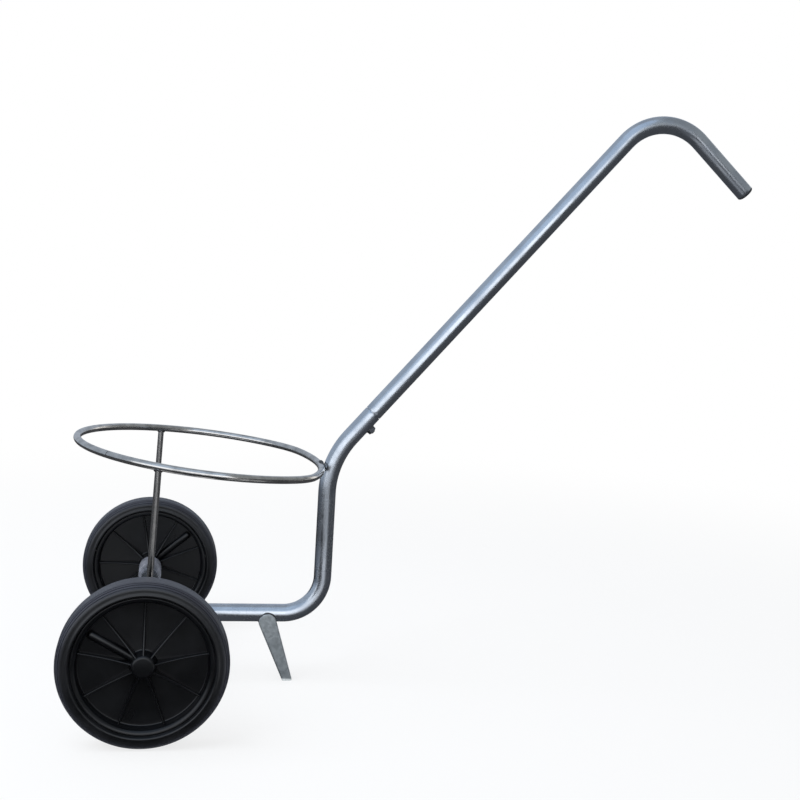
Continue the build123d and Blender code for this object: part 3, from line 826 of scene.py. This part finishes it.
def fin(stations, web, half, rounding):
    """Fin out from the hub on both faces of the web; a station has a radius, a height and a width share."""
    fillet = [(half + 1.2 * MM, web - 0.6 * MM), (half + 0.4 * MM, web + 0.3 * MM)]
    lowest = web + 0.6 * MM
    quarter = [radians(18 * k) for k in range(6)]
    rings = []
    for radius, height, share in stations:
        rise = list(fillet)
        for turn in quarter:
            level = height - rounding + rounding * sin(turn)
            rise.append((half - rounding + rounding * cos(turn), max(level, lowest)))
        up = [(across * share, level) for across, level in rise]
        near = up + [(-across, level) for across, level in reversed(up)]
        ring = near + [(across, -level) for across, level in reversed(near)]
        rings.append([(radius, across, level) for across, level in ring])
    return loft(rings)


def arc_points(first, through, last, steps):
    """Points of the arc through three flat points."""
    start = Vector(first)
    ahead = Vector(through) - start
    far = Vector(last) - start
    turn = 2 * ahead.cross(far)
    x = (far.y * ahead.length_squared - ahead.y * far.length_squared) / turn
    y = (ahead.x * far.length_squared - far.x * ahead.length_squared) / turn
    centre = Vector((x, y))
    radius = centre.length
    return [start + centre + (-centre).slerp(far - centre, k / steps) * radius for k in range(steps + 1)]


def rim_mesh(s, material):
    """Rim with its ribs and its lock ridge, in the wheel's own frame."""
    web = s.web / 2
    # radius and height of a rib's hollow crest: in the hub, between, and in the barrel
    crest = arc_points((15 * MM, 20 * MM), (46 * MM, 11.5 * MM), (97 * MM, 9 * MM), steps=10)
    rib = fin([(point.x, point.y, 1.0) for point in crest], web, half=s.rib / 2, rounding=0.4 * s.rib)
    ribs = grown(rib, copies_round_tree(), Count=s.ribs, First_Angle=pi / s.ribs, Material=material)
    # radius and height, in millimetres, and share of the width along the lock ridge
    ridge_line = [(15, 8, 1), (60, 8, 1), (87, 8, 1), (89.6, 7.1, 0.93), (91.2, 5.6, 0.82), (92, 3.8, 0.68)]
    ridge_line = [(radius * MM, height * MM, share) for radius, height, share in ridge_line]
    ridge = fin(ridge_line, web, half=6.5 * MM, rounding=6 * MM)
    return joined(lathe(rounded(rim_corners(s))), ribs, ridge)


def crown_point(s, along, depth):
    """Point of the tyre's section, along it from the middle of the tread, at a depth below it."""
    turn = max(along - s.tread / 2, 0.0) / s.shoulder
    bulge = s.shoulder - depth
    return s.wheel / 2 - s.shoulder + bulge * cos(turn), min(along, s.tread / 2) + bulge * sin(turn)


def tyre_mesh(s):
    """Tyre with fine grooves round its tread and shoulders, in the wheel's own frame."""
    half = s.tyre_width / 2
    deep = 0.9
    land_end = 2.4
    shoulder_end = radians(68)
    # a groove and the land beside it, along the section and deep, in millimetres
    cut = [(-0.75, 0), (-0.4, deep), (0.4, deep), (0.75, 0), (1.6, 0), (land_end, 0)]
    # the sidewall and its bead from the shoulder in, radius and height from the side, in millimetres
    bead = [
        (113.5, -1.05), (110.4, -1.1), (109.6, -0.8), (108.8, -0.3), (107.9, -0.05), (107, 0),
        (106.1, -0.2), (105.3, -0.8), (104.6, -2), (104, -3.4), (103.2, -4.6),
    ]
    upper = [crown_point(s, 0, deep * MM)]
    for groove in range(s.grooves // 2 + 1):
        for beside, depth in cut if groove else cut[2:]:
            upper.append(crown_point(s, groove * s.groove_pitch + beside * MM, depth * MM))
    end = s.tread / 2 + s.shoulder * shoulder_end
    start = s.grooves // 2 * s.groove_pitch + land_end * MM
    upper += [crown_point(s, start + (end - start) * k / 2, 0) for k in range(1, 3)]
    upper += [(radius * MM, half + inward * MM) for radius, inward in bead]
    lower = [(radius, -height) for radius, height in reversed(upper[1:])]
    return lathe(upper + lower, steps=192)


def hexagon_ring(flats):
    """Directions round a hexagon with each one's radius."""
    ring = []
    for turn in full_turn(RING_STEPS):
        from_flat = (turn + pi / 6) % (pi / 3) - pi / 6
        ring.append((turn, flats / 2 / cos(from_flat)))
    return ring


def nut_mesh(s):
    """Chamfered hexagon nut, its foot shaped to the tube and sunk a little into the wall."""
    sunk = s.tube / 2 - 0.5 * MM
    top = s.tube / 2 + s.nut_height
    bore = s.screw / 2 + 0.05 * MM
    bore_chamfer = 0.6 * MM
    flat = 0.47 * s.nut_flats
    rings = [[] for _ in range(6)]
    for turn, corner in hexagon_ring(s.nut_flats):
        drop = (corner - flat) * tan(radians(30))
        levels = [
            (bore, sqrt(sunk**2 - (bore * cos(turn)) ** 2)),
            (corner, sqrt(sunk**2 - (corner * cos(turn)) ** 2)),
            (corner, top - drop),
            (flat, top),
            (bore + bore_chamfer, top),
            (bore, top - bore_chamfer),
        ]
        for ring, (radius, height) in zip(rings, levels):
            ring.append(round_point(radius, turn, height))
    return loft(rings, closed=True)


def screw_mesh(s):
    """Clamp screw with a cut thread and a hexagon socket."""
    play = 0.3 * MM
    start = s.tube / 2 - s.tube_wall + play
    end = s.tube / 2 + s.nut_height + s.screw_proud
    crest = s.screw / 2
    depth = 0.6 * s.screw_pitch
    flank = 0.42  # of the pitch
    chamfer = 0.8 * MM
    key_chamfer = 0.25 * MM
    key_point = 0.6 * MM
    rings_a_turn = 10
    count = ceil((end - start) / (s.screw_pitch / rings_a_turn))
    rings = [[(0, 0, start)]]
    for j in range(count + 1):
        height = start + (end - start) * j / count
        edge = min(crest, crest - chamfer + min(height - start, end - height))
        ring = []
        for turn in full_turn(RING_STEPS):
            phase = (height / s.screw_pitch - turn / (2 * pi)) % 1
            radius = min(edge, crest - depth * max(0.0, 1 - abs(phase - 0.5) / flank))
            ring.append(round_point(radius, turn, height))
        rings.append(ring)
    key_floor = end - s.screw_key
    for height, grow in ((end, key_chamfer), (end - key_chamfer, 0.0), (key_floor, 0.0)):
        rings.append([round_point(radius + grow, turn, height) for turn, radius in hexagon_ring(s.screw_key)])
    rings.append([(0, 0, key_floor - key_point)])
    return loft(rings)


# Seams and welds

def round_seam(foot, direction, radius, axis_point, axis, bar_radius):
    """Loop where a round rod that starts inside a round bar comes out of it."""
    side = direction.orthogonal().normalized()
    other = direction.cross(side)
    heading = direction - axis * direction.dot(axis)
    points = []
    for turn in full_turn(RING_STEPS):
        start = foot + (side * cos(turn) + other * sin(turn)) * radius
        away = start - axis_point
        away -= axis * away.dot(axis)
        a = heading.length_squared
        b = away.dot(heading)
        c = away.length_squared - bar_radius**2
        points.append(start + direction * ((sqrt(b * b - a * c) - b) / a))
    return points


def strut_seams(s, side):
    """Loops at the two ends of a strut."""
    foot, top = strut_ends(s, side)
    rise = (top - foot).normalized()
    hoop_turn = atan2(top.y, (s.strut_top - s.hoop_place) / cos(s.hoop_tilt))
    tangent = hoop_point(s, -sin(hoop_turn), cos(hoop_turn)) - hoop_point(s, 0, 0)
    axle = round_seam(foot, rise, s.strut_rod / 2, foot, Vector((0, 1, 0)), s.tube / 2)
    hoop = round_seam(top, -rise, s.strut_rod / 2, top, tangent.normalized(), s.hoop_rod / 2)
    return axle, hoop


def sweep(degrees, steps):
    """Angles of even steps from one side of upright to the other."""
    return [radians(-degrees + 2 * degrees * k / steps) for k in range(steps + 1)]


def axle_seam(s):
    """Saddle where the frame tube meets the axle tube, open below."""
    radius = s.tube / 2
    points = []
    for turn in sweep(degrees=106, steps=60):
        height = s.lower_height + radius * cos(turn)
        points.append(at(sqrt(radius**2 - (height - AXLE.z) ** 2), height, radius * sin(turn)))
    return points


def upright_seam(s):
    """Loop where the hoop's back enters the upright."""
    radius = s.tube / 2
    rod = s.hoop_rod / 2
    back = hoop_point(s, s.hoop_back, 0)
    reach = 0.835 * radius  # across the tube, to where the rod leaves it
    steps = 24
    points = []
    for way in (1, -1):
        for k in range(steps):
            across = way * reach * cos(pi * k / steps)
            on_tube = AXLE.x + s.upright - sqrt(radius**2 - across**2)
            on_rod = back.x - across**2 / (2 * s.hoop_back_bend)
            rise = sqrt(max(rod**2 - (on_tube - on_rod) ** 2, 0.0))
            points.append(Vector((on_tube, across, back.z + way * rise)))
    return points


def leg_seam(s):
    """Arc along the leg's round top on the near side of the lower tube."""
    lean = Vector((s.leg_foot - s.leg_top, -s.leg_height)).normalized()
    half = s.leg_width / 2
    inset = 0.5 * MM
    centre = Vector((s.leg_top, s.leg_height)) + lean * half
    radius = s.tube / 2
    points = []
    for turn in sweep(degrees=100, steps=40):
        out = Vector((-lean.x * cos(turn) - lean.y * sin(turn), -lean.y * cos(turn) + lean.x * sin(turn)))
        spot = centre + out * (half - inset)
        if abs(spot.y - s.lower_height) < radius:
            points.append(at(spot.x, spot.y, -sqrt(radius**2 - (spot.y - s.lower_height) ** 2)))
    return points


def nut_seam(s):
    """Hexagon loop where the nut stands on the socket."""
    radius = s.tube / 2
    place = nut_frame(s)
    points = []
    for turn, corner in hexagon_ring(s.nut_flats):
        height = sqrt(radius**2 - (corner * cos(turn)) ** 2)
        points.append(place @ Vector(round_point(corner, turn, height)))
    return points


def butt_seam(s):
    """Ring round the hoop's rod where its two ends meet."""
    centre = hoop_point(s, s.hoop * cos(s.hoop_seam), s.hoop * sin(s.hoop_seam))
    out = (centre - hoop_point(s, 0, 0)).normalized()
    up = Vector((sin(s.hoop_tilt), 0, cos(s.hoop_tilt)))
    sunk = 0.9 * s.weld
    radius = s.hoop_rod / 2 - sunk
    return [centre + (out * cos(turn) + up * sin(turn)) * radius for turn in full_turn(40)]


def weld_bead(points, radius, seed, closed=True):
    """Bead along a seam, uneven in its own way for each seed."""
    return grown(
        line_mesh(points, closed), weld_bead_tree(), Radius=radius, Ripple=2.2 * MM,
        End_Size=1.0 if closed else 0.35, Seed=float(seed), Material=weld_metal(),
    )


# Operators, one for each piece or group of like pieces

class CartFrameTubes(bpy.types.Operator):
    """Bent frame tube and the cross tube for the axle"""

    bl_idname = "cart.frame_tubes"
    bl_label = "Frame tubes"

    def execute(self, context):
        s = context.scene.cart_sizes
        zinc = bright_zinc_tube()
        shaft = shaft_lines(s)
        foot = at(s.upright, s.lower_height)
        corners = [at(s.lower_start, s.lower_height), foot, shaft.corner, shaft.mouth]
        bends = s.lower_bend, s.socket_bend
        frame_tube = tube(corners, s.tube / 2, s.tube_wall, s.end_chamfer, zinc, bends)
        piece("frame_tube_bent", frame_tube, zinc, "frame", "zinc_tube", "frame_tube")
        ends = [at(0, AXLE.z, corner.y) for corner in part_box("axle_tube")]
        axle_tube = tube(ends, s.tube / 2, s.axle_wall, s.end_chamfer, zinc)
        piece("axle_tube_cut", axle_tube, zinc, "frame", "zinc_tube", "axle_tube")
        return {"FINISHED"}


class CartHandle(bpy.types.Operator):
    """Hooked handle tube with its spigot, and the plug in its end"""

    bl_idname = "cart.handle"
    bl_label = "Handle"

    def execute(self, context):
        s = context.scene.cart_sizes
        zinc = bright_zinc_tube()
        shaft = shaft_lines(s)
        radius = s.tube / 2
        bore = radius - s.tube_wall
        end = shaft.tip - shaft.down * s.plug_head
        corners = [shaft.mouth + shaft.up * s.joint_gap, shaft.hook, end]
        main = tube(corners, radius, s.tube_wall, s.end_chamfer, zinc, (s.hook_bend,))
        hidden = 8 * MM  # of the spigot, inside the handle tube
        spigot_line = [shaft.mouth - shaft.up * s.spigot, shaft.mouth + shaft.up * hidden]
        spigot = tube(spigot_line, bore - s.spigot_clearance, s.tube_wall, s.end_chamfer, zinc)
        piece("handle_tube_bent", joined(main, spigot), zinc, "handle", "zinc_tube", "handle_tube")
        outline = [
            (0, s.plug_head, 0),
            (radius, s.plug_head, 3 * MM),
            (radius, 0, 0.4 * MM),
            (bore, 0, 0),
            (bore, -s.plug_stem, 1 * MM),
            (0, -s.plug_stem, 0),
        ]
        plug = lathe(rounded(outline), steps=64)
        plug.transform(Matrix.Translation(end) @ turn_outward(shaft.down))
        piece("handle_plug_moulded", plug, dark_moulded_plug(), "handle", "plug_plastic", "handle_end_plug")
        return {"FINISHED"}


class CartHoop(bpy.types.Operator):
    """Hoop for the barrel and the two struts that carry it"""

    bl_idname = "cart.hoop"
    bl_label = "Hoop and struts"

    def execute(self, context):
        s = context.scene.cart_sizes
        hoop = bent_bar(hoop_line(s), s.hoop_rod / 2, zinc_rod(), closed=True, sides=32)
        piece("hoop_bent", hoop, zinc_rod(), "frame", "zinc_rod", "ring_hoop")
        for name, side in SIDES:
            strut = bent_bar(strut_ends(s, side), s.strut_rod / 2, zinc_rod(), caps=True, sides=32)
            piece("strut_rod_" + name, strut, zinc_rod(), "frame", "zinc_rod", "strut_" + name)
        return {"FINISHED"}


class CartLeg(bpy.types.Operator):
    """Pressed stand leg"""

    bl_idname = "cart.leg"
    bl_label = "Stand leg"

    def execute(self, context):
        dress("stand_leg", dull_zinc_strip())
        return {"FINISHED"}


class CartClamp(bpy.types.Operator):
    """Nut welded under the socket and the screw that clamps the handle"""

    bl_idname = "cart.clamp"
    bl_label = "Clamp nut and screw"

    def execute(self, context):
        s = context.scene.cart_sizes
        steel = dark_fastener_steel()
        nut = nut_mesh(s)
        nut.transform(nut_frame(s))
        piece("socket_nut_chamfered", nut, steel, "frame", "fastener_steel", "socket_nut")
        screw = screw_mesh(s)
        screw.transform(nut_frame(s))
        piece("clamp_screw_threaded", screw, steel, "clamp_screw", "fastener_steel", "clamp_screw")
        return {"FINISHED"}


class CartWheels(bpy.types.Operator):
    """Moulded rims with ribs and their solid tyres"""

    bl_idname = "cart.wheels"
    bl_label = "Wheels"

    def execute(self, context):
        s = context.scene.cart_sizes
        plastic = moulded_black_plastic()
        for name, side in SIDES:
            body = "wheel_" + name
            rim = rim_mesh(s, plastic)
            rim.transform(wheel_frame(s, side))
            piece("rim_moulded_" + name, rim, plastic, body, "rim_plastic", "wheel_rim_" + name)
            tyre = tyre_mesh(s)
            tyre.transform(wheel_frame(s, side))
            piece("tyre_solid_" + name, tyre, tyre_rubber(), body, "tyre_rubber", "tyre_" + name)
        return {"FINISHED"}


class CartAxleParts(bpy.types.Operator):
    """Spacer sleeves, and the rod, bushes and wheel locks inside"""

    bl_idname = "cart.axle_parts"
    bl_label = "Axle parts"

    def execute(self, context):
        s = context.scene.cart_sizes
        for name, side in SIDES:
            node = "axle_spacer_" + name
            low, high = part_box(node)
            width = high.y - low.y
            outer = (high.x - low.x) / 2
            outline = [
                (s.sleeve_bore, 0, 0.5 * MM),
                (outer, 0, 1.2 * MM),
                (outer, width, 1.2 * MM),
                (s.sleeve_bore, width, 0.5 * MM),
            ]
            sleeve = lathe(rounded(outline, steps=4), steps=96)
            start = low.y if side > 0 else high.y
            sleeve.transform(Matrix.Translation((AXLE.x, start, AXLE.z)) @ turn_sideways(side))
            piece("spacer_sleeve_" + name, sleeve, grey_nylon(), "frame", "spacer_plastic", node)
            dress("axle_bush_" + name, grey_nylon())
            dress("lock_pin_" + name, turned_steel())
            dress("lock_spring_" + name, turned_steel())
        dress("axle_rod", turned_steel())
        return {"FINISHED"}


class CartWelds(bpy.types.Operator):
    """Weld beads on every joint of the frame"""

    bl_idname = "cart.welds"
    bl_label = "Welds"

    def execute(self, context):
        s = context.scene.cart_sizes
        beads = [
            weld_bead(axle_seam(s), 1.4 * s.weld, seed=1, closed=False),
            weld_bead(upright_seam(s), s.weld, seed=2),
            weld_bead(leg_seam(s), s.weld, seed=3, closed=False),
            weld_bead(nut_seam(s), 0.7 * s.weld, seed=4),
            weld_bead(butt_seam(s), s.weld, seed=5),
        ]
        for _, side in SIDES:
            for seam in strut_seams(s, side):
                beads.append(weld_bead(seam, s.weld, seed=len(beads) + 1))
        piece("frame_welds", joined(*beads), weld_metal(), "frame", "zinc_rod")
        return {"FINISHED"}


class CartStage(bpy.types.Operator):
    """Pale floor, soft light, glowing cards of painted reflection and painted shade, and the camera"""

    bl_idname = "cart.stage"
    bl_label = "Stage"

    def execute(self, context):
        view = context.scene.cart_view
        context.scene.view_settings.view_transform = "Standard"
        light_room(context.scene, view)
        lay_floor()
        hang_painted_reflection_cards()
        place_lamp(view)
        place_camera(context.scene, view)
        return {"FINISHED"}


# Stage

def seen_directly(tree):
    """One for rays that come straight from the camera or by way of metal or glass, else zero."""
    path = add(tree, "ShaderNodeLightPath").outputs
    seen = add(
        tree, "ShaderNodeMath", operation="ADD", Value=path["Is Camera Ray"], Value_001=path["Is Glossy Ray"]
    )
    return add(
        tree, "ShaderNodeMath", operation="ADD", use_clamp=True,
        Value=seen, Value_001=path["Is Transmission Ray"],
    )


def light_room(scene, view):
    """World: soft cool light on everything, plain white where it is seen."""
    scene.world = bpy.data.worlds.new("Room")
    scene.world.use_nodes = True
    tree = scene.world.node_tree
    tree.nodes.clear()
    light = add(tree, "ShaderNodeBackground", Color=linear("#f4f8ff"), Strength=view.room_light)
    white = add(tree, "ShaderNodeBackground", Color=linear("#ffffff"), Strength=1.0)
    mixed = add(tree, "ShaderNodeMixShader", Fac=seen_directly(tree), Shader=light, Shader_001=white)
    add(tree, "ShaderNodeOutputWorld", Surface=mixed)


def stage_plane(name, width, depth, place, material):
    """Flat rectangle of the stage, its place in its mesh."""
    mesh = bpy.data.meshes.new(name)
    corners = [Vector((x * width / 2, y * depth / 2, 0)) for x, y in SQUARE]
    mesh.from_pydata(corners, [], [(0, 1, 2, 3)])
    mesh.transform(place)
    mesh.materials.append(material)
    obj = placed(name, mesh)
    return obj


def lay_floor():
    """Floor that keeps the cart's shadow and fades to the white of the room away from it."""
    material, tree = new_material("Pale studio floor")
    place = add(tree, "ShaderNodeTexCoord").outputs["Object"]
    reach = add(tree, "ShaderNodeVectorMath", operation="LENGTH", Vector=place).outputs["Value"]
    fade = add(
        tree, "ShaderNodeMapRange", interpolation_type="SMOOTHSTEP",
        Value=reach, From_Min=0.7, From_Max=2.6, To_Min=0.78, To_Max=1.0,
    )
    share = add(tree, "ShaderNodeMath", operation="MULTIPLY", Value=fade, Value_001=seen_directly(tree))
    matt = add(tree, "ShaderNodeBsdfDiffuse", Color=linear("#f6f7f7"))
    white = add(tree, "ShaderNodeEmission", Color=linear("#ffffff"), Strength=1.0)
    mixed = add(tree, "ShaderNodeMixShader", Fac=share, Shader=matt, Shader_001=white)
    add(tree, "ShaderNodeOutputMaterial", Surface=mixed)
    stage_plane("studio_floor", FLOOR_SIZE, FLOOR_SIZE, Matrix.Identity(4), material)


def facing_place(azimuth, elevation, distance):
    """Place seen from the cart in a direction, right of the front and up, that faces back to the cart."""
    turn = radians(azimuth)
    rise = radians(elevation)
    out = Vector((sin(turn) * cos(rise), -cos(turn) * cos(rise), sin(rise)))
    facing = out.to_track_quat("Z", "Y").to_matrix().to_4x4()
    return Matrix.Translation(CARD_CENTRE + out * distance) @ facing


def level_place(x, y, z=6 * MM):
    """Level place, just above the floor unless a height is given."""
    return Matrix.Translation((x, y, z))


def standing_place(x, y, z):
    """Upright place that faces front."""
    return Matrix.Translation((x, y, z)) @ Matrix.Rotation(radians(90), 4, "X")


def hang_painted_reflection_cards():
    """Glowing cards that only reflections see, as a shot of metal has them: painted reflections of bright
    walls, sky and ceiling, and painted shade of a dark ground.
    """
    # name, width, height, place, tone and strength
    for name, width, height, place, tone, strength in (
        # painted reflections: cards that glow though they are no lamp, giving the metal its highlight bands
        # and its blue sheen
        ("window_card", 3.2, 2.6, facing_place(-5, 11, 4.2), "#f3f8ff", 1.5),
        ("front_left_card", 4.6, 3.0, facing_place(-38, 8, 4.35), "#eef4fc", 1.45),
        ("sky_card", 6.8, 5.4, facing_place(-22, 56, 4.2), "#bccfe6", 1.0),
        ("ceiling_card", 14, 14, level_place(0, 0, 5.4), "#9aa2ac", 1.0),
        ("left_card", 8, 7, facing_place(-108, 32, 3.9), "#a8b4c3", 1.0),
        ("right_card", 9.4, 6, facing_place(66, 37, 3.9), "#8e9397", 1.0),
        # painted shade: a dark band on the right that only reflections see
        ("right_horizon_card", 5.6, 0.95, facing_place(58, 3, 3.6), "#494c4f", 1.0),
        ("back_card", 7, 5, facing_place(180, 18, 3.6), "#a9b3c1", 1.0),
        # painted shade: a dark ground over the pale floor that only reflections see, darkening the undersides
        # of tubes and rods
        ("ground_card", 12, 12, level_place(0, 0, 4 * MM), "#484a4e", 1.0),
        # small cards aimed at single parts: painted reflections on the upright, the lower tube and the far
        # wheel's web
        ("upright_left_card", 1.2, 1.0, level_place(-0.65, -1.38), "#7c7e82", 1.0),
        ("front_ground_card", 1.25, 1.7, level_place(-0.78, -3.05), "#c4c9d0", 1.0),
        ("upright_front_card", 0.4, 1.35, level_place(0.15, -1.275), "#9da0a5", 1.0),
        ("tube_front_card", 0.29, 0.11, standing_place(-0.125, -0.42, 0.06), "#dadde2", 1.0),
        # painted shade: a dark patch in front of the near wheel that darkens its web's reflection
        ("wheel_front_card", 0.39, 0.5, level_place(-0.445, -0.61), "#1f2023", 1.0),
        ("between_wheels_card", 0.28, 0.22, level_place(-0.5, -0.13), "#dadde2", 1.0),
    ):
        material, tree = new_material("Painted reflection of " + name)
        glow = add(tree, "ShaderNodeEmission", Color=linear(tone), Strength=strength)
        add(tree, "ShaderNodeOutputMaterial", Surface=glow)
        card = stage_plane(name, width, height, place, material)
        for rays in ("camera", "diffuse", "transmission", "shadow"):
            setattr(card, "visible_" + rays, False)


def place_lamp(view):
    """Large soft lamp that reflections do not see."""
    lamp = bpy.data.lights.new("Key light", "AREA")
    lamp.shape = "RECTANGLE"
    lamp.size = 3
    lamp.size_y = 3
    lamp.energy = view.key_light
    lamp.color = linear("#f3f8ff")[:3]
    obj = placed("Key light", lamp)
    obj.matrix_world = facing_place(azimuth=-70, elevation=50, distance=3.6)
    obj.visible_camera = False
    obj.visible_glossy = False


def place_camera(scene, view):
    """Camera that frames the whole cart."""
    camera = bpy.data.cameras.new("Camera")
    camera.lens = view.lens
    camera.sensor_width = 36
    obj = placed("Camera", camera)
    turn = Matrix.Rotation(-view.yaw, 4, "Z") @ Matrix.Rotation(pi / 2 - view.pitch, 4, "X")
    obj.matrix_world = Matrix.Translation(view.place) @ turn @ Matrix.Rotation(view.roll, 4, "Z")
    scene.camera = obj


# Add-on

OPERATORS = (
    CartFrameTubes,
    CartHandle,
    CartHoop,
    CartLeg,
    CartClamp,
    CartWheels,
    CartAxleParts,
    CartWelds,
    CartStage,
)
SETTINGS = {"cart_sizes": CartSizes, "cart_colours": CartColours, "cart_view": CartView}


class CartPanel(bpy.types.Panel):
    """Lists the cart's pieces in the sidebar"""

    bl_idname = "VIEW3D_PT_cart"
    bl_label = "Barrel cart"
    bl_space_type = "VIEW_3D"
    bl_region_type = "UI"
    bl_category = "Cart"

    def draw(self, context):
        for operator in OPERATORS:
            self.layout.operator(operator.bl_idname)
        for settings in SETTINGS:
            group = getattr(context.scene, settings)
            for key in group.__annotations__:
                self.layout.prop(group, key)


def register():
    for kind in (*SETTINGS.values(), *OPERATORS, CartPanel):
        bpy.utils.register_class(kind)
    for name, group in SETTINGS.items():
        setattr(bpy.types.Scene, name, PointerProperty(type=group))


def unregister():
    for name in SETTINGS:
        delattr(bpy.types.Scene, name)
    for kind in reversed((*SETTINGS.values(), *OPERATORS, CartPanel)):
        bpy.utils.unregister_class(kind)


def main():
    register()
    bpy.ops.cart.frame_tubes()
    bpy.ops.cart.handle()
    bpy.ops.cart.hoop()
    bpy.ops.cart.leg()
    bpy.ops.cart.clamp()
    bpy.ops.cart.wheels()
    bpy.ops.cart.axle_parts()
    bpy.ops.cart.welds()
    bpy.ops.cart.stage()
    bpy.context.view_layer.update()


if __name__ == "__main__":
    main()
